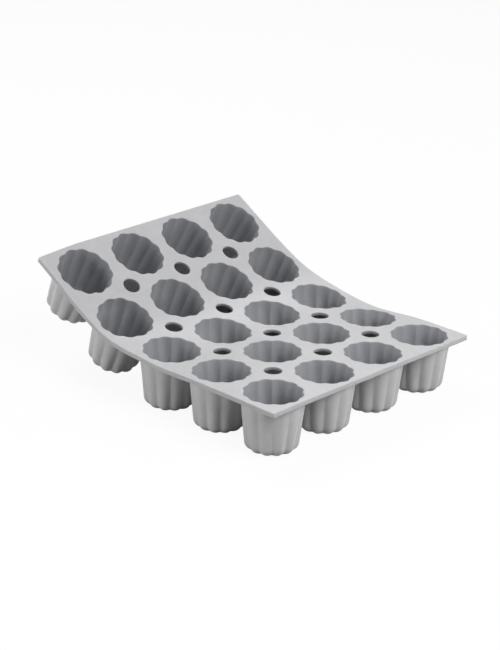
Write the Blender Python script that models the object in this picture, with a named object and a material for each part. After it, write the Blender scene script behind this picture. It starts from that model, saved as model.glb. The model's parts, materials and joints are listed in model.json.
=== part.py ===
"""Silicone mini canele mould: a flexible sheet with five rows of four fluted cups.

The mould is one soft moulding. It is built here as the sheet's five rows, which flex against
each other along four lines, and the twenty cups that hang from them. It stands the way it is
shown: the front three rows flat on their cups, the back two rows curled up.
Metres, +Z up, +Y from the front row to the back row. The origin is the bottom centre of the
mould's box.
"""

import math

import bmesh
import bpy
from mathutils import Vector

MM = 0.001

# The columns of cups, left to right, and how far the sheet is bent up at each flex line,
# front to back, in degrees
COLUMN_LETTERS = "abcd"
COLUMNS = len(COLUMN_LETTERS)
FLEX_BENDS = (0.0, 0.0, 26.2, 5.3)
ROWS = len(FLEX_BENDS) + 1
HELD_ROW = 3

# Sheet
ROW_PITCH = 42.0 * MM
COLUMN_PITCH = 44.0 * MM
END_MARGIN = 21.0 * MM
SIDE_MARGIN = 22.0 * MM
SHEET_THICKNESS = 3.0 * MM
CORNER_RADIUS = 1.0 * MM
CORNER_SEGMENTS = 3
VENT_DIAMETER = 11.0 * MM
VENT_SIDES = 20
NOSE_SEGMENTS = 3
NOSE_SHARE = 0.49

# Cups
MOULD_HEIGHT = 35.0 * MM
MOUTH_RADIUS = 17.5 * MM
FLUTES = 12
FLUTE_DEPTH = 1.2 * MM
CREST_SHARE = 0.36
GROOVE_SHARE = 0.5
CUP_WALL = 2.0 * MM
CUP_FLOOR = 2.0 * MM
CUP_DRAFT = math.radians(7.0)
BOTTOM_ROUND = 6.0 * MM
OUTER_ROUND_SEGMENTS = 2
INNER_ROUND_SEGMENTS = 1
SHARP_ANGLE = math.radians(35.0)

# Silicone: a light neutral grey with a satin skin
SILICONE_COLOUR = (0.42, 0.42, 0.43, 1.0)
SILICONE_ROUGHNESS = 0.5

# Space left between neighbouring pieces, and how far a cutter passes its work
CLEARANCE = 0.3 * MM
CUT_PAST = 1.0 * MM

SHEET_WIDTH = (COLUMNS - 1) * COLUMN_PITCH + 2 * SIDE_MARGIN
CUP_TOP_DEPTH = SHEET_THICKNESS + CLEARANCE


def clear_scene():
    for item in list(bpy.data.objects):
        bpy.data.objects.remove(item, do_unlink=True)


def silicone(name):
    """Grey food-grade silicone, satin from the mould tool."""
    material = bpy.data.materials.new(name)
    material.use_nodes = True
    shader = material.node_tree.nodes["Principled BSDF"]
    shader.inputs["Base Color"].default_value = SILICONE_COLOUR
    shader.inputs["Roughness"].default_value = SILICONE_ROUGHNESS
    return material


def add_object(name, mesh, parent, location=(0.0, 0.0, 0.0)):
    item = bpy.data.objects.new(name, mesh)
    item.parent = parent
    item.location = location
    bpy.context.collection.objects.link(item)
    return item


def finish_mesh(bm, name, material=None):
    bmesh.ops.recalc_face_normals(bm, faces=bm.faces)
    mesh = bpy.data.meshes.new(name)
    bm.to_mesh(mesh)
    bm.free()
    if material:
        mesh.materials.append(material)
    return mesh


def height(depth):
    """Height of a level above the middle of the sheet, from its depth below the sheet's top."""
    return SHEET_THICKNESS / 2 - depth


def fluted_ring(bm, radius, depth, centre_x=0.0):
    """One level of a cup's wall: a groove point and two crest points for each flute."""
    flute_angle = 2 * math.pi / FLUTES
    points = (
        (-CREST_SHARE / 2, FLUTE_DEPTH / 2),
        (CREST_SHARE / 2, FLUTE_DEPTH / 2),
        (GROOVE_SHARE, -FLUTE_DEPTH / 2),
    )
    ring = []
    for flute in range(FLUTES):
        for share, reach in points:
            angle = (flute + share) * flute_angle
            x = centre_x + (radius + reach) * math.cos(angle)
            y = (radius + reach) * math.sin(angle)
            ring.append(bm.verts.new((x, y, height(depth))))
    return ring


def skin(bm, rings):
    """Close a stack of rings: a band between neighbours and a cap on each end."""
    for lower, upper in zip(rings, rings[1:]):
        for index, vert in enumerate(lower):
            after = (index + 1) % len(lower)
            bm.faces.new((vert, lower[after], upper[after], upper[index]))
    bm.faces.new(rings[0])
    bm.faces.new(rings[-1])


def mouth_radius(depth):
    """Inner mean radius of a cup at a depth below the sheet's top."""
    return MOUTH_RADIUS - depth * math.tan(CUP_DRAFT)


def wall_levels(grown, floor_depth, rounding, segments):
    """Radius and depth of a drafted wall, from its top, round the bottom corner, to its floor."""
    centre_depth = floor_depth - rounding
    across = (rounding + centre_depth * math.sin(CUP_DRAFT)) / math.cos(CUP_DRAFT)
    centre_radius = MOUTH_RADIUS + grown - across
    levels = [(mouth_radius(CUP_TOP_DEPTH) + grown, CUP_TOP_DEPTH)]
    for step in range(segments + 1):
        angle = CUP_DRAFT + (math.pi / 2 - CUP_DRAFT) * step / segments
        radius = centre_radius + rounding * math.cos(angle)
        levels.append((radius, centre_depth + rounding * math.sin(angle)))
    return levels


def cup_mesh(material):
    """A fluted cup, open at its top, with a rounded bottom corner and a flat floor."""
    outer = wall_levels(CUP_WALL, MOULD_HEIGHT, BOTTOM_ROUND, OUTER_ROUND_SEGMENTS)
    inner_round = BOTTOM_ROUND - CUP_WALL
    inner = wall_levels(0.0, MOULD_HEIGHT - CUP_FLOOR, inner_round, INNER_ROUND_SEGMENTS)
    bm = bmesh.new()
    skin(bm, [fluted_ring(bm, radius, depth) for radius, depth in outer[::-1] + inner])
    mesh = finish_mesh(bm, "cup", material)
    mesh.shade_smooth()
    mesh.set_sharp_from_angle(angle=SHARP_ANGLE)
    return mesh


def strip_mesh(row, material):
    """One row of the sheet, with a half-round nose along each edge that flexes."""
    front = -END_MARGIN if row == 1 else -(ROW_PITCH - CLEARANCE) / 2
    back = END_MARGIN if row == ROWS else (ROW_PITCH - CLEARANCE) / 2
    bm = bmesh.new()
    bmesh.ops.create_cube(bm, size=1.0)
    bmesh.ops.scale(bm, vec=(SHEET_WIDTH, back - front, SHEET_THICKNESS), verts=bm.verts)
    bmesh.ops.translate(bm, vec=(0.0, (front + back) / 2, 0.0), verts=bm.verts)
    free_ends = [end for end, free in ((front, row == 1), (back, row == ROWS)) if free]
    corners = [edge for edge in bm.edges if is_corner(edge, free_ends)]
    bmesh.ops.bevel(bm, geom=corners, offset=CORNER_RADIUS, segments=CORNER_SEGMENTS,
                    profile=0.5, affect="EDGES")
    flexing_ends = [end for end in (front, back) if end not in free_ends]
    noses = [edge for edge in bm.edges if is_along_x(edge, flexing_ends)]
    bmesh.ops.bevel(bm, geom=noses, offset=SHEET_THICKNESS * NOSE_SHARE,
                    segments=NOSE_SEGMENTS, profile=0.5, affect="EDGES")
    return finish_mesh(bm, f"deck_row_{row}", material)


def is_corner(edge, ends):
    """An upright edge at one of the given ends of a strip."""
    first, second = (vert.co for vert in edge.verts)
    upright = abs(first.z - second.z) > SHEET_THICKNESS / 2
    return upright and any(abs(first.y - end) < CLEARANCE / 2 for end in ends)


def is_along_x(edge, ends):
    """A long edge at one of the given ends of a strip."""
    first, second = (vert.co for vert in edge.verts)
    long = abs(first.x - second.x) > SHEET_WIDTH / 2
    return long and any(abs(first.y - end) < CLEARANCE / 2 for end in ends)


def column_x(column):
    return (column - (COLUMNS - 1) / 2) * COLUMN_PITCH


def mouth_cutter_mesh():
    """Four fluted plugs that cut a row's cup mouths through the sheet."""
    bm = bmesh.new()
    for column in range(COLUMNS):
        levels = (-CUT_PAST, SHEET_THICKNESS + CUT_PAST)
        skin(bm, [fluted_ring(bm, mouth_radius(depth), depth, column_x(column)) for depth in levels])
    return finish_mesh(bm, "mouth_cutter")


def vent_cutter_mesh():
    """Round plugs that cut the vents through the sheet, on the line where two rows meet."""
    bm = bmesh.new()
    for column in range(COLUMNS - 1):
        made = bmesh.ops.create_cone(bm, cap_ends=True, segments=VENT_SIDES,
                                     radius1=VENT_DIAMETER / 2, radius2=VENT_DIAMETER / 2,
                                     depth=SHEET_THICKNESS + 2 * CUT_PAST)
        middle = (column_x(column) + column_x(column + 1)) / 2
        bmesh.ops.translate(bm, vec=(middle, 0.0, 0.0), verts=made["verts"])
    return finish_mesh(bm, "vent_cutter")


def cut(item, cutter):
    cutter.hide_render = True
    cutter.display_type = "WIRE"
    modifier = item.modifiers.new(cutter.name, "BOOLEAN")
    modifier.operation = "DIFFERENCE"
    modifier.solver = "EXACT"
    modifier.object = cutter


def flex_frames(frame):
    """An empty for each row, turning on the flex line that joins it to the row nearer the held one.

    Returns each row's empty and how far the row's centre lies from it along Y.
    """
    rows = {HELD_ROW: (add_object(f"row_{HELD_ROW}_frame", None, frame), 0.0)}
    for side, last in ((1, ROWS), (-1, 1)):
        for row in range(HELD_ROW + side, last + side, side):
            parent, centre = rows[row - side]
            location = (0.0, centre + side * ROW_PITCH / 2, 0.0)
            empty = add_object(f"row_{row}_flex_line", None, parent, location)
            bend = FLEX_BENDS[min(row, row - side) - 1]
            empty.rotation_euler.x = side * math.radians(bend)
            rows[row] = (empty, side * ROW_PITCH / 2)
    return rows


def build_row(row, empty, centre, cup, deck_silicone, mouth_cutter):
    """A strip of the sheet with its mouths and vents cut, and the row's cups under it."""
    strip = add_object(f"deck_row_{row}", strip_mesh(row, deck_silicone), empty, (0.0, centre, 0.0))
    cut(strip, add_object(f"mouth_cutter_{row}", mouth_cutter, strip))
    for side, neighbour in ((-1, row - 1), (1, row + 1)):
        if 1 <= neighbour <= ROWS:
            place = (0.0, side * ROW_PITCH / 2, 0.0)
            vents = add_object(f"vent_cutter_{row}_{neighbour}", vent_cutter_mesh(), strip, place)
            cut(strip, vents)
    cups = []
    for column, letter in enumerate(COLUMN_LETTERS):
        place = (column_x(column), centre, 0.0)
        cups.append(add_object(f"cup_{row}{letter}", cup, empty, place))
    return [strip] + cups


def stand_on_floor(frame, pieces):
    """Move the mould so that the bottom centre of its box is the origin."""
    bpy.context.view_layer.update()
    depsgraph = bpy.context.evaluated_depsgraph_get()
    points = []
    for piece in pieces:
        shape = piece.evaluated_get(depsgraph)
        points += [shape.matrix_world @ vert.co for vert in shape.data.vertices]
    low = Vector([min(point[axis] for point in points) for axis in range(3)])
    high = Vector([max(point[axis] for point in points) for axis in range(3)])
    frame.location -= Vector(((low.x + high.x) / 2, (low.y + high.y) / 2, low.z))
    bpy.context.view_layer.update()


clear_scene()
deck_silicone = silicone("deck_silicone")
cup = cup_mesh(silicone("cup_silicone"))
mouth_cutter = mouth_cutter_mesh()
mould_frame = add_object("mould_frame", None, None)
pieces = []
for row, (empty, centre) in sorted(flex_frames(mould_frame).items()):
    pieces += build_row(row, empty, centre, cup, deck_silicone, mouth_cutter)
stand_on_floor(mould_frame, pieces)
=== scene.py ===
# Silicone mini canele mould: a thin sheet with rows of fluted cups, standing on its front cups
# with its back end curled up, on a plain white table.
import json
import math

import bmesh
import bpy
from mathutils import Matrix, Vector


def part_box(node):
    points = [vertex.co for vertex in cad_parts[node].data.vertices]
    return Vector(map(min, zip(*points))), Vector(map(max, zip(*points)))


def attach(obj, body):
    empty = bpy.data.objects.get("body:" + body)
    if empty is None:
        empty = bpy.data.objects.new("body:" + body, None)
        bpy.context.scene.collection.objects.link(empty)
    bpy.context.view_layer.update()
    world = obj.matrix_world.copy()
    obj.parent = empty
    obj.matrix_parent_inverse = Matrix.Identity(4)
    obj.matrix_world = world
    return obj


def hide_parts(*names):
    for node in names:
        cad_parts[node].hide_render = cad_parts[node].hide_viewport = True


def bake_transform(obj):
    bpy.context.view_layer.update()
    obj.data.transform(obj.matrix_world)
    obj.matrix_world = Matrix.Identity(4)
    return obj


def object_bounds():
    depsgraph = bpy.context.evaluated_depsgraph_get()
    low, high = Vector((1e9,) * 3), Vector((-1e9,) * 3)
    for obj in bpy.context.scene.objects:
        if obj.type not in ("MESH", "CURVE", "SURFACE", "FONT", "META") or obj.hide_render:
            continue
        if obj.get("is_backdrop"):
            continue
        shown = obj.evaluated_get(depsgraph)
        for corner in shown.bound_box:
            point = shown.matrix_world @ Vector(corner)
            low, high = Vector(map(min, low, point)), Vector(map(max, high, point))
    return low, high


MM = 0.001

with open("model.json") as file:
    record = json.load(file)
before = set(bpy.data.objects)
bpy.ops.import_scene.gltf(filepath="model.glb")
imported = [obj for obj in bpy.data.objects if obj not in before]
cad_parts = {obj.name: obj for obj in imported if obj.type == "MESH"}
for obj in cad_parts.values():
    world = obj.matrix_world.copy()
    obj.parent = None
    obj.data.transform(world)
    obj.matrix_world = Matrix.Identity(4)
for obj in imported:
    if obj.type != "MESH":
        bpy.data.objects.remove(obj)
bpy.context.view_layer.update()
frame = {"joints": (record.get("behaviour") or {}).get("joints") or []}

# The sheet
# The mould is one soft silicone moulding, and this is its 3 mm sheet, with a fluted mouth over
# each cup and a round vent in the middle of each four. It comes flat from its tool, so it is
# modelled flat and whole, laid along the rows' sweep, and parted where the rows are stiffest.
ROWS = (1, 2, 3, 4, 5)
MIDDLE_ROW = 3
COLUMNS = "abcd"
BACK_ROW_TILT = math.radians(31.5)
SWEEP_TILTS = {1: 0.0, 2: 0.0, 3: 5.0, 4: 25.0, 5: 30.3}
SWEEP_EASE = {4: Vector((0.0, 1.1, 0.7)) * MM, 5: Vector((0.0, 1.1, 0.5)) * MM}
DROOP_SLOPES = (math.radians(3.0), math.radians(6.2))
DROOP_STARTS = (-22 * MM, -61 * MM)
DROOP_ROUND = 16 * MM
WAVES = (
    (-60 * MM, -78 * MM, 44 * MM, 0.7 * MM),
    (64 * MM, -40 * MM, 44 * MM, -0.6 * MM),
    (88 * MM, -95 * MM, 44 * MM, -0.7 * MM),
    (94 * MM, -31 * MM, 26 * MM, -3.5 * MM),
)
SLOPE_STEP = 0.2 * MM

MOUTH_RADIUS = 17.5 * MM
MOUTH_FLUTE = 1.05 * MM
FLUTES = 12
GROOVE_SHARPNESS = 1.3
CUP_DRAFT = math.radians(7.0)
VENT_RADIUS = 5.5 * MM
CORNER_RADIUS = 1.0 * MM
RIM_ROUND = 0.3 * MM
RIM_STEPS = 3
VENT_UNDERCUT = 1.8 * MM

STRAIGHT_STEPS = 18
CORNER_STEPS = 12
AROUND = 2 * STRAIGHT_STEPS + CORNER_STEPS
ROUND_SHARE = 0.5
UNDER_SHARES = (1.0, 0.78, 0.55, 0.34, 0.15, 0.0)
WALL_SHARES = (0.7, 0.4)
TOP_SHARES = (0.12, 0.26, 0.42, 0.6, 0.8, 1.0)
MERGE_DISTANCE = 0.001 * MM
RIM_ANGLE = math.radians(60)
SHARP_ANGLE = math.radians(50)

SILICONE_IOR = 1.41
SATIN_ROUGHNESS = 0.32
POLISHED_ROUGHNESS = 0.3
ROUGHNESS_SPREAD = 0.06
SHEET_COLOURS = ("#BABABC", "#C4C4C6")
# The cavity colours are a darker grey than the sheet's: painted shade for the insides of the cups and the
# walls of the mouths and vents.
PAINTED_SHADE_CAVITY_COLOURS = ("#A0A1A5", "#AAABAF")
TINT_STOPS = (0.3, 0.7)
CLOUD_SIZE = 9 * MM
GRAIN_SIZE = 0.7 * MM
GRAIN_DEPTH = 0.02 * MM
GRAIN_SHARE = 0.35

low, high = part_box("deck_row_1")
sheet_thickness = high[2] - low[2]
cup_boxes = {column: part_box(f"cup_1{column}") for column in COLUMNS}
column_x = {column: (box[0][0] + box[1][0]) / 2 for column, box in cup_boxes.items()}
half_column = (column_x["b"] - column_x["a"]) / 2
flex = {joint["name"]: Vector(joint["pos_m"]) for joint in frame["joints"]}
row_pitch = (flex["flex_2_3"] - flex["flex_1_2"]).length
half_pitch = row_pitch / 2


def along(tilt):
    return Vector((0.0, math.cos(tilt), math.sin(tilt)))


centres = {
    1: flex["flex_1_2"] - along(0.0) * half_pitch,
    2: flex["flex_1_2"] + along(0.0) * half_pitch,
    3: flex["flex_3_4"] - along(0.0) * half_pitch,
    4: (flex["flex_3_4"] + flex["flex_4_5"]) / 2,
    5: flex["flex_4_5"] + along(BACK_ROW_TILT) * half_pitch,
}


def flat_y(row):
    return (row - MIDDLE_ROW) * row_pitch


def ease(share):
    """Nothing below 0, all above 1, and a smooth change between."""
    share = min(max(share, 0.0), 1.0)
    return share * share * (3 - 2 * share)


def droop(x, y):
    """How far the unheld left side of the back rows hangs below the sweep."""
    back = ease(y / row_pitch - 1)
    slope, start = (near + (far - near) * back for near, far in (DROOP_SLOPES, DROOP_STARTS))
    past = start - x
    if past < DROOP_ROUND / 2:
        past = max(past + DROOP_ROUND / 2, 0.0) ** 2 / (2 * DROOP_ROUND)
    return slope * past * ease(y / row_pitch)


def wave(x, y):
    """How far the soft sheet, laid down by hand, stands above or below the sweep.

    Each of its waves has a place on the flat sheet, a reach and a rise.
    """
    height = 0.0
    for wave_x, wave_y, reach, rise in WAVES:
        height += rise * math.exp(-((x - wave_x) ** 2 + (y - wave_y) ** 2) / reach ** 2)
    return height


def sweep_point(x, y):
    """The middle of the bent sheet over a point of the flat one: a smooth curve through the rows."""
    first = min(max(math.floor(y / row_pitch) + MIDDLE_ROW, ROWS[0]), ROWS[-2])
    share = y / row_pitch - (first - MIDDLE_ROW)
    start, end = (centres[row] + SWEEP_EASE.get(row, Vector()) for row in (first, first + 1))
    leaving, arriving = (along(math.radians(SWEEP_TILTS[row])) * row_pitch for row in (first, first + 1))
    if share < 0:
        place, heading = start + leaving * share, leaving
    elif share > 1:
        place, heading = end + arriving * (share - 1), arriving
    else:
        square, cube = share ** 2, share ** 3
        place = (start * (2 * cube - 3 * square + 1) + leaving * (cube - 2 * square + share)
                 + end * (3 * square - 2 * cube) + arriving * (cube - square))
        heading = ((end - start) * (6 * share - 6 * square) + leaving * (3 * square - 4 * share + 1)
                   + arriving * (3 * square - 2 * share))
    heading = heading.normalized()
    place = place + Vector((0.0, -heading.z, heading.y)) * (wave(x, y) - droop(x, y))
    return Vector((x, place.y, place.z))


def on_sheet(point):
    """Where a point of the flat mould lies when it follows the bent sheet."""
    middle = sweep_point(point.x, point.y)
    across = sweep_point(point.x + SLOPE_STEP, point.y) - middle
    onward = sweep_point(point.x, point.y + SLOPE_STEP) - middle
    return middle + across.cross(onward).normalized() * point.z


def mouth_radius(depth):
    """Mean inner radius of a cup at a depth below the sheet's top."""
    return MOUTH_RADIUS - depth * math.tan(CUP_DRAFT)


def flute(angle, depth):
    """How far a fluted wall stands out at an angle: broad crests with narrower grooves between."""
    across = angle * FLUTES / 2
    return depth * (abs(math.cos(across)) ** GROOVE_SHARPNESS - 0.5)


def border_point(step, corner):
    """A point on the border of a cup's quarter of the sheet, which ends at a vent, an edge or a corner."""
    side_x, side_y = half_column - VENT_RADIUS, half_pitch - VENT_RADIUS
    if step <= STRAIGHT_STEPS:
        return Vector((half_column, side_y * step / STRAIGHT_STEPS, 0.0))
    if step >= STRAIGHT_STEPS + CORNER_STEPS:
        return Vector((side_x * (AROUND - step) / STRAIGHT_STEPS, half_pitch, 0.0))
    turn = (step - STRAIGHT_STEPS) / CORNER_STEPS
    if corner == "vent":
        angle = turn * math.pi / 2
        inset = Vector((math.sin(angle), math.cos(angle), 0.0)) * VENT_RADIUS
        return Vector((half_column, half_pitch, 0.0)) - inset
    rounding, round_share = (CORNER_RADIUS, ROUND_SHARE) if corner == "corner" else (0.0, 0.0)
    straight = VENT_RADIUS - rounding
    straight_share = (1 - round_share) / 2
    if turn <= straight_share:
        return Vector((half_column, side_y + straight * turn / straight_share, 0.0))
    if turn >= 1 - straight_share:
        return Vector((side_x + straight * (1 - turn) / straight_share, half_pitch, 0.0))
    angle = (turn - straight_share) / round_share * math.pi / 2
    middle = Vector((half_column - rounding, half_pitch - rounding, 0.0))
    return middle + Vector((math.cos(angle), math.sin(angle), 0.0)) * rounding


def sheet_rings():
    """The quarter's rings from its border below, in to the mouth, up its wall and out along the top."""
    rings = [(share, sheet_thickness, 0.0) for share in UNDER_SHARES]
    rings += [(0.0, sheet_thickness * share, 0.0) for share in WALL_SHARES]
    for step in range(RIM_STEPS + 1):
        angle = math.pi / 2 * step / RIM_STEPS
        rings.append((0.0, RIM_ROUND * (1 - math.sin(angle)), RIM_ROUND * (1 - math.cos(angle))))
    rings += [(share, 0.0, RIM_ROUND) for share in TOP_SHARES]
    return rings


def quarter_sheet(corner):
    """A quarter of the sheet round one cup: a grid shaped round the mouth, under and over."""
    rings = sheet_rings()
    bpy.ops.mesh.primitive_grid_add(x_subdivisions=AROUND, y_subdivisions=len(rings) - 1, size=1.0)
    quarter = bpy.context.object
    for vert in quarter.data.vertices:
        ring, step = divmod(vert.index, AROUND + 1)
        share, depth, outset = rings[ring]
        angle = math.pi / 2 * step / AROUND
        radius = mouth_radius(depth) + flute(angle, MOUTH_FLUTE) + outset
        mouth = Vector((radius * math.cos(angle), radius * math.sin(angle), 0.0))
        vert.co = mouth.lerp(border_point(step, corner), share)
        vert.co.z = sheet_thickness / 2 - depth
    return quarter


def make_active(piece):
    bpy.ops.object.select_all(action="DESELECT")
    piece.select_set(True)
    bpy.context.view_layer.objects.active = piece


def select_edges(piece, wanted):
    """In edit mode, select only the edges that the test accepts."""
    bpy.ops.mesh.select_mode(type="EDGE")
    bpy.ops.mesh.select_all(action="DESELECT")
    mesh = bmesh.from_edit_mesh(piece.data)
    for edge in mesh.edges:
        edge.select_set(wanted(edge))
    bmesh.update_edit_mesh(piece.data)


def is_rim(edge):
    """An outer or vent rim of the flat sheet, and not the rim of a mouth."""
    if len(edge.link_faces) != 2 or edge.calc_face_angle() < RIM_ANGLE:
        return False
    middle = (edge.verts[0].co + edge.verts[1].co) / 2
    x = min(abs(middle.x - centre) for centre in column_x.values())
    y = min(abs(middle.y - flat_y(row)) for row in ROWS)
    return math.hypot(x, y) > MOUTH_RADIUS + MOUTH_FLUTE


def is_vent_foot(edge):
    """The lower rim of a vent."""
    middle = (edge.verts[0].co + edge.verts[1].co) / 2
    x = min(abs(middle.x - centre - half_column) for centre in column_x.values())
    y = min(abs(middle.y - flat_y(row) - half_pitch) for row in ROWS)
    inside = abs(middle.x) < column_x["d"] and abs(middle.y) < flat_y(ROWS[-1])
    return inside and middle.z < 0 and math.hypot(x, y) < VENT_RADIUS + RIM_ROUND


def is_hole_wall(face):
    """A face of the wall of a mouth or a vent in the flat sheet."""
    middle = face.calc_center_median()
    reach = MOUTH_RADIUS + MOUTH_FLUTE
    inside = abs(middle.x) < column_x["d"] + reach and abs(middle.y) < flat_y(ROWS[-1]) + reach
    return inside and abs(face.normal.z) < 0.5


def joined_quarters():
    """All the quarters of the sheet, copied from three patterns, laid out flat and joined."""
    bpy.ops.object.select_all(action="DESELECT")
    patterns = {corner: quarter_sheet(corner) for corner in ("vent", "edge", "corner")}
    quarters = []
    for row in ROWS:
        for column in COLUMNS:
            for side_x, last_column in ((-1, COLUMNS[0]), (1, COLUMNS[-1])):
                for side_y, last_row in ((-1, ROWS[0]), (1, ROWS[-1])):
                    free_sides = (column == last_column) + (row == last_row)
                    pattern = patterns[("vent", "edge", "corner")[free_sides]]
                    quarter = bpy.data.objects.new("sheet_quarter", pattern.data.copy())
                    bpy.context.collection.objects.link(quarter)
                    place = Matrix.Translation((column_x[column], flat_y(row), 0.0))
                    quarter.data.transform(place @ Matrix.Diagonal((side_x, side_y, 1.0, 1.0)))
                    quarters.append(quarter)
    for pattern in patterns.values():
        bpy.data.objects.remove(pattern)
    make_active(quarters[0])
    for quarter in quarters:
        quarter.select_set(True)
    bpy.ops.object.join()
    return bpy.context.object


def flat_sheet():
    """The whole sheet, flat, with its mouths and vents open and its rims rounded."""
    sheet = joined_quarters()
    bpy.ops.object.mode_set(mode="EDIT")
    bpy.ops.mesh.select_all(action="SELECT")
    bpy.ops.mesh.remove_doubles(threshold=MERGE_DISTANCE)
    select_edges(sheet, lambda edge: edge.is_boundary and edge.verts[0].co.z > 0)
    drop = {"value": (0.0, 0.0, -sheet_thickness)}
    bpy.ops.mesh.extrude_edges_move(TRANSFORM_OT_translate=drop)
    bpy.ops.mesh.select_all(action="SELECT")
    bpy.ops.mesh.remove_doubles(threshold=MERGE_DISTANCE)
    bpy.ops.mesh.normals_make_consistent(inside=False)
    for vent_foot, offset in ((False, RIM_ROUND), (True, VENT_UNDERCUT)):
        select_edges(sheet, lambda edge: is_rim(edge) and is_vent_foot(edge) == vent_foot)
        bpy.ops.mesh.bevel(offset=offset, segments=RIM_STEPS, profile=0.5, affect="EDGES")
    # The walls of the mouths and vents take the cavity material, whose darker grey is painted shade.
    mesh = bmesh.from_edit_mesh(sheet.data)
    for face in mesh.faces:
        face.material_index = 1 if is_hole_wall(face) else 0
    bmesh.update_edit_mesh(sheet.data)
    bpy.ops.object.mode_set(mode="OBJECT")
    return sheet


def sheet_span(sheet, first, second):
    """The sheet between two rows' centre lines, out to a free end where there is one, closed and bent."""
    span = bpy.data.objects.new(f"sheet_span_{first}_{second}", sheet.data.copy())
    bpy.context.collection.objects.link(span)
    start = flat_y(first) if first != ROWS[0] else -math.inf
    end = flat_y(second) if second != ROWS[-1] else math.inf
    make_active(span)
    bpy.ops.object.mode_set(mode="EDIT")
    bpy.ops.mesh.select_mode(type="FACE")
    bpy.ops.mesh.select_all(action="DESELECT")
    mesh = bmesh.from_edit_mesh(span.data)
    for face in mesh.faces:
        face.select_set(not start < face.calc_center_median().y < end)
    bmesh.update_edit_mesh(span.data)
    bpy.ops.mesh.delete(type="FACE")
    select_edges(span, lambda edge: edge.is_boundary)
    bpy.ops.mesh.fill_holes(sides=0)
    bpy.ops.mesh.select_all(action="SELECT")
    bpy.ops.mesh.normals_make_consistent(inside=False)
    bpy.ops.object.mode_set(mode="OBJECT")
    bpy.ops.object.shade_smooth_by_angle(angle=SHARP_ANGLE)
    for vert in span.data.vertices:
        vert.co = on_sheet(vert.co.copy())
    return span


def linear(hex_colour):
    """Linear RGBA from an sRGB hex value, by the sRGB formula."""
    values = [int(hex_colour[index:index + 2], 16) / 255 for index in (1, 3, 5)]
    return [v / 12.92 if v <= 0.04045 else ((v + 0.055) / 1.055) ** 2.4 for v in values] + [1.0]


def add_node(tree, kind, settings, links):
    """A node with its settings and input values, and links into it from other nodes' outputs."""
    node = tree.nodes.new(kind)
    for name, value in settings.items():
        if isinstance(name, int) or name in node.inputs:
            node.inputs[name].default_value = value
        else:
            setattr(node, name, value)
    for name, (source, output) in links.items():
        tree.links.new(source.outputs[output], node.inputs[name])
    return node


def silicone(name, colours, roughness):
    """Food-grade silicone rubber, satin where its steel tool is blasted and smoother where polished.

    To the eye it is a dense grey satin, with faint cloudy flow marks and a very fine grain.
    """
    material = bpy.data.materials.new(name)
    material.use_nodes = True
    tree = material.node_tree
    shader = tree.nodes["Principled BSDF"]
    shader.inputs["IOR"].default_value = SILICONE_IOR
    place = add_node(tree, "ShaderNodeTexCoord", {}, {})
    clouds = add_node(tree, "ShaderNodeTexNoise",
                      {"Scale": 1 / CLOUD_SIZE, "Detail": 4.0, "Roughness": 0.6, "Distortion": 0.8},
                      {"Vector": (place, "Object")})
    grain = add_node(tree, "ShaderNodeTexNoise",
                     {"Scale": 1 / GRAIN_SIZE, "Detail": 2.0, "Roughness": 0.5},
                     {"Vector": (place, "Object")})
    mixed = add_node(tree, "ShaderNodeMix", {"data_type": "FLOAT", 0: GRAIN_SHARE},
                     {2: (clouds, "Fac"), 3: (grain, "Fac")})
    tint = add_node(tree, "ShaderNodeValToRGB", {}, {"Fac": (mixed, "Result")})
    for stop, position, colour in zip(tint.color_ramp.elements, TINT_STOPS, colours):
        stop.position = position
        stop.color = linear(colour)
    tree.links.new(tint.outputs["Color"], shader.inputs["Base Color"])
    satin = add_node(tree, "ShaderNodeMapRange",
                     {"To Min": roughness - ROUGHNESS_SPREAD, "To Max": roughness + ROUGHNESS_SPREAD},
                     {"Value": (clouds, "Fac")})
    tree.links.new(satin.outputs["Result"], shader.inputs["Roughness"])
    bump = add_node(tree, "ShaderNodeBump", {"Strength": 0.6, "Distance": GRAIN_DEPTH},
                    {"Height": (grain, "Fac")})
    tree.links.new(bump.outputs["Normal"], shader.inputs["Normal"])
    return material


# The cavity material is the sheet's silicone painted a shade darker, as painted shade in the hollows; its
# polish only makes it smoother.
sheet_silicone = silicone("satin_moulded_silicone_sheet", SHEET_COLOURS, SATIN_ROUGHNESS)
painted_shade_cavity_silicone = silicone("polished_silicone_cavity_painted_shade", PAINTED_SHADE_CAVITY_COLOURS, POLISHED_ROUGHNESS)
sheet = flat_sheet()
for first, second in zip(ROWS, ROWS[1:]):
    span = sheet_span(sheet, first, second)
    span.data.materials.append(sheet_silicone)
    span.data.materials.append(painted_shade_cavity_silicone)
    facing = (centres[second] - centres[first]).normalized()
    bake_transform(span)
    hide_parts(f"deck_row_{first}", f"deck_row_{second}")
bpy.data.objects.remove(sheet)

# The cups
# Twenty fluted cups of the same silicone, moulded in one with the sheet, each with a drafted
# wall, a rounded bottom corner and a flat floor. Their outsides are painted a shade lighter than
# the sheet, as painted light, and their insides a shade darker, as painted shade. A collar on top
# of each reaches up into the sheet, so that no slit opens at its root when the sheet flexes.
STANDING_ROWS = (1, 2, 3)
LEANING_ROW = 3
LEAN = math.radians(1.0)
MOULD_HEIGHT = 35.0 * MM
CUP_WALL = 2.0 * MM
CUP_FLOOR = 2.0 * MM
BOTTOM_ROUND = 6.0 * MM
ROOT_ROUND = 0.7 * MM
ROOT_FLUTE = 0.4 * MM
OUTER_BOTTOM_FLUTE = 1.5 * MM
INNER_BOTTOM_FLUTE = 1.6 * MM
COLLAR_SHARE = 0.35
COLLAR_INSET = 0.3 * MM
SOFT_DEPTH = 14 * MM
RING_POINTS = 4 * AROUND
WALL_STEPS = 14
ROUND_STEPS = 8
ROOT_STEPS = 3
FLOOR_SHARES = (0.85, 0.6, 0.3, 0.04)
# The cup colours are a lighter grey than the sheet's: painted light on the outer walls and undersides of
# the cups.
PAINTED_LIGHT_CUP_COLOURS = ("#C5C5C5", "#CFCFCF")


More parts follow.
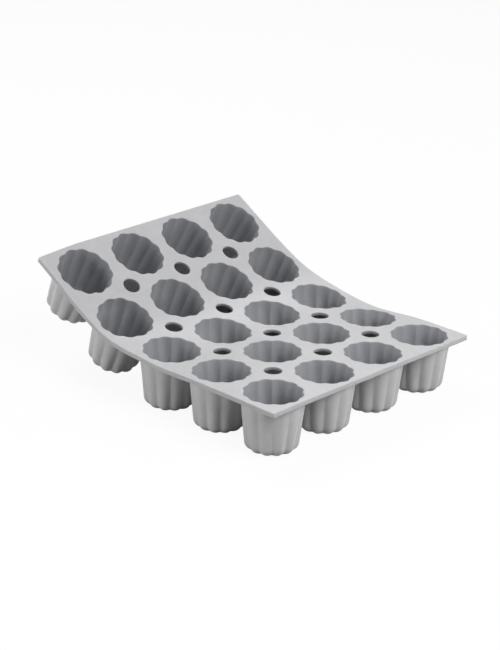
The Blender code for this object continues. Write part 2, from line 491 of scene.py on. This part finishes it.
def wall_profile(grown, floor_depth, rounding, top_depth):
    """Radius and depth down a drafted wall and round its bottom corner to the floor."""
    centre_depth = floor_depth - rounding
    across = (rounding + centre_depth * math.sin(CUP_DRAFT)) / math.cos(CUP_DRAFT)
    centre_radius = MOUTH_RADIUS + grown - across
    wall_end = centre_depth + rounding * math.sin(CUP_DRAFT)
    profile = []
    for step in range(WALL_STEPS):
        depth = top_depth + (wall_end - top_depth) * step / WALL_STEPS
        profile.append((mouth_radius(depth) + grown, depth))
    for step in range(ROUND_STEPS + 1):
        angle = CUP_DRAFT + (math.pi / 2 - CUP_DRAFT) * step / ROUND_STEPS
        radius = centre_radius + rounding * math.cos(angle)
        profile.append((radius, centre_depth + rounding * math.sin(angle)))
    return profile


def fluted(profile, top_flute, bottom_flute):
    """The profile's rings with their flutes, which deepen from the sheet to the floor."""
    floor_radius, floor_depth = profile[-1]
    rings = []
    for radius, depth in profile:
        fall = (depth - sheet_thickness) / (floor_depth - sheet_thickness)
        rings.append((radius, depth, top_flute + (bottom_flute - top_flute) * fall))
    rings += [(floor_radius * share, floor_depth, bottom_flute * share ** 4) for share in FLOOR_SHARES]
    return rings


def cup_rings():
    """Rings of the whole cup, from the middle of its underside round to the middle of its floor.

    Each ring is a radius, a depth below the sheet's top and how deep its flutes are.
    """
    outer = wall_profile(CUP_WALL, MOULD_HEIGHT, BOTTOM_ROUND, sheet_thickness + ROOT_ROUND)
    inner = wall_profile(0.0, MOULD_HEIGHT - CUP_FLOOR, BOTTOM_ROUND - CUP_WALL, sheet_thickness)
    rings = fluted(outer, ROOT_FLUTE, OUTER_BOTTOM_FLUTE)[::-1]
    for step in range(1, ROOT_STEPS + 1):
        turn = math.pi / 2 * step / ROOT_STEPS
        radius = outer[0][0] + ROOT_ROUND * (1 - math.cos(turn))
        rings.append((radius, sheet_thickness + ROOT_ROUND * (1 - math.sin(turn)), ROOT_FLUTE))
    collar_depth = sheet_thickness * COLLAR_SHARE
    collar_outer = mouth_radius(sheet_thickness) + CUP_WALL - COLLAR_INSET
    rings.append((collar_outer, sheet_thickness, MOUTH_FLUTE))
    rings.append((collar_outer, collar_depth, MOUTH_FLUTE))
    rings.append((mouth_radius(collar_depth) + COLLAR_INSET, collar_depth, MOUTH_FLUTE))
    rings.append((mouth_radius(sheet_thickness) + COLLAR_INSET, sheet_thickness, MOUTH_FLUTE))
    return rings + fluted(inner, MOUTH_FLUTE, INNER_BOTTOM_FLUTE)


def flat_cup():
    """One cup under the flat sheet: a circle extruded ring by ring, closed at both poles."""
    rings = cup_rings()
    bpy.ops.object.select_all(action="DESELECT")
    bpy.ops.mesh.primitive_circle_add(vertices=RING_POINTS, radius=rings[0][0])
    cup = bpy.context.object
    bpy.ops.object.mode_set(mode="EDIT")
    bpy.ops.mesh.select_mode(type="VERT")
    for index, (radius, depth, flute_depth) in enumerate(rings):
        if index:
            bpy.ops.mesh.extrude_edges_indiv()
        mesh = bmesh.from_edit_mesh(cup.data)
        for vert in mesh.verts:
            if vert.select:
                angle = math.atan2(vert.co.y, vert.co.x)
                reach = radius + flute(angle, flute_depth)
                height = sheet_thickness / 2 - depth
                vert.co = Vector((reach * math.cos(angle), reach * math.sin(angle), height))
        bmesh.update_edit_mesh(cup.data)
    for end_depth in (MOULD_HEIGHT, MOULD_HEIGHT - CUP_FLOOR):
        height = sheet_thickness / 2 - end_depth
        select_edges(cup, lambda edge: edge.is_boundary and abs(edge.verts[0].co.z - height) < MM)
        bpy.ops.mesh.extrude_edges_indiv()
        bpy.ops.mesh.merge(type="CENTER")
    bpy.ops.mesh.select_all(action="SELECT")
    bpy.ops.mesh.normals_make_consistent(inside=False)
    bpy.ops.object.mode_set(mode="OBJECT")
    bpy.ops.object.shade_smooth_by_angle(angle=SHARP_ANGLE)
    # Faces that look up, inside the cup, take the darker cavity material as painted shade; the outside
    # takes the cup material.
    for face in cup.data.polygons:
        face.material_index = 1 if face.normal.z > 0 else 0
    return cup


def cup_frame(row, column):
    """The place and turn of a cup's stiff lower part: level if its row stands, else square to its row.

    The last standing row leans a little with the sweep, on the front edges of its floors.
    """
    x, y = column_x[column], flat_y(row)
    if row in STANDING_ROWS:
        lean = LEAN if row == LEANING_ROW else 0.0
        floor_radius = wall_profile(CUP_WALL, MOULD_HEIGHT, BOTTOM_ROUND, sheet_thickness)[-1][0]
        lift = floor_radius * math.sin(lean)
        place = Matrix.Translation((x, centres[row].y, centres[row].z + lift))
        return place @ Matrix.Rotation(lean, 4, "X")
    left, right = (sweep_point(x + side * MOUTH_RADIUS, y) for side in (-1, 1))
    front, back = (sweep_point(x, y + side * MOUTH_RADIUS) for side in (-1, 1))
    row_front, row_back = (sweep_point(0.0, y + side * MOUTH_RADIUS) for side in (-1, 1))
    across = (right - left).normalized()
    up = across.cross(row_back - row_front).normalized()
    turned = Matrix((across, up.cross(across), up)).transposed().to_4x4()
    return Matrix.Translation((left + right + front + back) / 4) @ turned


# The cups' outsides get the sheet's silicone painted a shade lighter, as painted light.
painted_light_cup_silicone = silicone("satin_silicone_cup_painted_light", PAINTED_LIGHT_CUP_COLOURS, SATIN_ROUGHNESS)
cup_pattern = flat_cup()
for row in ROWS:
    for column in COLUMNS:
        cup = bpy.data.objects.new(f"fluted_cup_{row}{column}", cup_pattern.data.copy())
        bpy.context.collection.objects.link(cup)
        stiff = cup_frame(row, column)
        for vert in cup.data.vertices:
            depth = sheet_thickness / 2 - vert.co.z
            soft = 1 - ease((depth - sheet_thickness) / (SOFT_DEPTH - sheet_thickness))
            place = stiff @ vert.co
            if soft > 0:
                follow = on_sheet(vert.co + Vector((column_x[column], flat_y(row), 0.0)))
                place = place.lerp(follow, soft)
            vert.co = place
        cup.data.materials.append(painted_light_cup_silicone)
        cup.data.materials.append(painted_shade_cavity_silicone)
        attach(cup, f"row_{row}")
        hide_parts(f"cup_{row}{column}")
bpy.data.objects.remove(cup_pattern)

# The table
# A plain sweep of matt paper with no edge or texture, a hair below the floors of the cups. The
# camera sees it white with the mould's soft shadow on it, and it throws back only a part of the
# light on the mould from below.
TABLE_SIZE = 6.0
TABLE_HEIGHT = -0.05 * MM
TABLE_GLOW = 0.93
SEEN_PAPER_COLOUR = "#FFFFFF"
LIT_PAPER_COLOUR = "#8C8C8B"

bpy.ops.mesh.primitive_plane_add(size=TABLE_SIZE, location=(0.0, 0.0, TABLE_HEIGHT))
table = bpy.context.object
table.name = "table"
paper = bpy.data.materials.new("matt_white_paper")
paper.use_nodes = True
tree = paper.node_tree
tree.nodes.clear()
rays = add_node(tree, "ShaderNodeLightPath", {}, {})
lit = add_node(tree, "ShaderNodeBsdfDiffuse", {"Color": linear(LIT_PAPER_COLOUR)}, {})
white = add_node(tree, "ShaderNodeBsdfDiffuse", {"Color": linear(SEEN_PAPER_COLOUR)}, {})
glow = add_node(tree, "ShaderNodeEmission", {"Color": linear(SEEN_PAPER_COLOUR), "Strength": 1.0}, {})
mirrored = add_node(tree, "ShaderNodeMixShader", {},
                    {"Fac": (rays, "Is Glossy Ray"), 1: (lit, "BSDF"), 2: (white, "BSDF")})
seen = add_node(tree, "ShaderNodeMixShader", {"Fac": TABLE_GLOW},
                {1: (white, "BSDF"), 2: (glow, "Emission")})
mixed = add_node(tree, "ShaderNodeMixShader", {},
                 {"Fac": (rays, "Is Camera Ray"), 1: (mirrored, "Shader"), 2: (seen, "Shader")})
add_node(tree, "ShaderNodeOutputMaterial", {}, {"Surface": (mixed, "Shader")})
table.data.materials.append(paper)
table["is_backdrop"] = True

# The light
# Large soft boxes high in front, high behind, to the right and low on the left, a little light
# from all round, and one small weak box behind that alone mirrors in the sheet as its sheen.
SKY_COLOUR = "#FFFFFF"
SKY_STRENGTH = 0.03
LIT_PLACE = Vector((0.0, 0.0, 0.03))
LARGE_BOX = 0.8
SMALL_BOX = 0.3

world = bpy.data.worlds.new("studio")
bpy.context.scene.world = world
world.use_nodes = True
tree = world.node_tree
tree.nodes.clear()
rays = add_node(tree, "ShaderNodeLightPath", {}, {})
dim = add_node(tree, "ShaderNodeBackground", {"Color": linear(SKY_COLOUR), "Strength": SKY_STRENGTH}, {})
white = add_node(tree, "ShaderNodeBackground", {"Color": linear(SKY_COLOUR), "Strength": 1.0}, {})
seen = add_node(tree, "ShaderNodeMath", {"operation": "MAXIMUM"},
                {0: (rays, "Is Camera Ray"), 1: (rays, "Is Glossy Ray")})
mixed = add_node(tree, "ShaderNodeMixShader", {},
                 {"Fac": (seen, "Value"), 1: (dim, "Background"), 2: (white, "Background")})
add_node(tree, "ShaderNodeOutputWorld", {}, {"Surface": (mixed, "Shader")})


def soft_box(name, place, size, power, mirrored):
    """A square lamp that faces the mould, and shows in mirror-like reflections only if mirrored."""
    light = bpy.data.lights.new(name, "AREA")
    light.shape = "SQUARE"
    light.size = size
    light.energy = power
    lamp = bpy.data.objects.new(name, light)
    bpy.context.collection.objects.link(lamp)
    lamp.location = place
    lamp.rotation_euler = (LIT_PLACE - Vector(place)).to_track_quat("-Z", "Y").to_euler()
    lamp.visible_glossy = mirrored


soft_box("front_light", place=(-0.03, -0.97, 0.87), size=LARGE_BOX, power=11.6, mirrored=False)
soft_box("top_light", place=(0.09, 0.74, 1.07), size=LARGE_BOX, power=7.0, mirrored=False)
soft_box("right_light", place=(0.82, -0.88, 0.49), size=LARGE_BOX, power=3.9, mirrored=False)
soft_box("left_light", place=(-1.15, 0.53, 0.27), size=LARGE_BOX, power=9.6, mirrored=False)
soft_box("sheen_light", place=(0.85, 0.62, 0.76), size=SMALL_BOX, power=0.9, mirrored=True)

# The camera
# It stands off the front left corner, as the photograph's did, with a long lens.
PHOTO_HEIGHT = 650
SENSOR = 36.0
FOCAL_PIXELS = 2070
CAMERA_AZIMUTH = math.radians(46.86)
CAMERA_ELEVATION = math.radians(22.32)
CAMERA_ROLL = math.radians(-1.91)
CAMERA_DISTANCE = 1286 * MM
CLIP_START = 10 * MM
AIM_RIGHT, AIM_DOWN = -5.24 * MM, -0.92 * MM
AIM_BACK = 74.8 * MM

look = Vector((math.sin(CAMERA_AZIMUTH) * math.cos(CAMERA_ELEVATION),
               math.cos(CAMERA_AZIMUTH) * math.cos(CAMERA_ELEVATION),
               -math.sin(CAMERA_ELEVATION)))
level = Vector((math.cos(CAMERA_AZIMUTH), -math.sin(CAMERA_AZIMUTH), 0.0))
down = look.cross(level)
right = level * math.cos(CAMERA_ROLL) + down * math.sin(CAMERA_ROLL)
down = down * math.cos(CAMERA_ROLL) - level * math.sin(CAMERA_ROLL)
front_row_top = centres[1] + Vector((0.0, 0.0, sheet_thickness / 2))
aim = front_row_top + Vector((0.0, AIM_BACK, 0.0)) + right * AIM_RIGHT + down * AIM_DOWN
lens = bpy.data.cameras.new("camera")
lens.sensor_width = SENSOR
lens.lens = FOCAL_PIXELS * SENSOR / PHOTO_HEIGHT
lens.clip_start = CLIP_START
camera = bpy.data.objects.new("camera", lens)
bpy.context.collection.objects.link(camera)
facing = Matrix((right, -down, -look)).transposed().to_4x4()
camera.matrix_world = Matrix.Translation(aim - look * CAMERA_DISTANCE) @ facing
bpy.context.scene.camera = camera
bpy.context.scene.view_settings.view_transform = "Standard"

low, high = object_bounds()
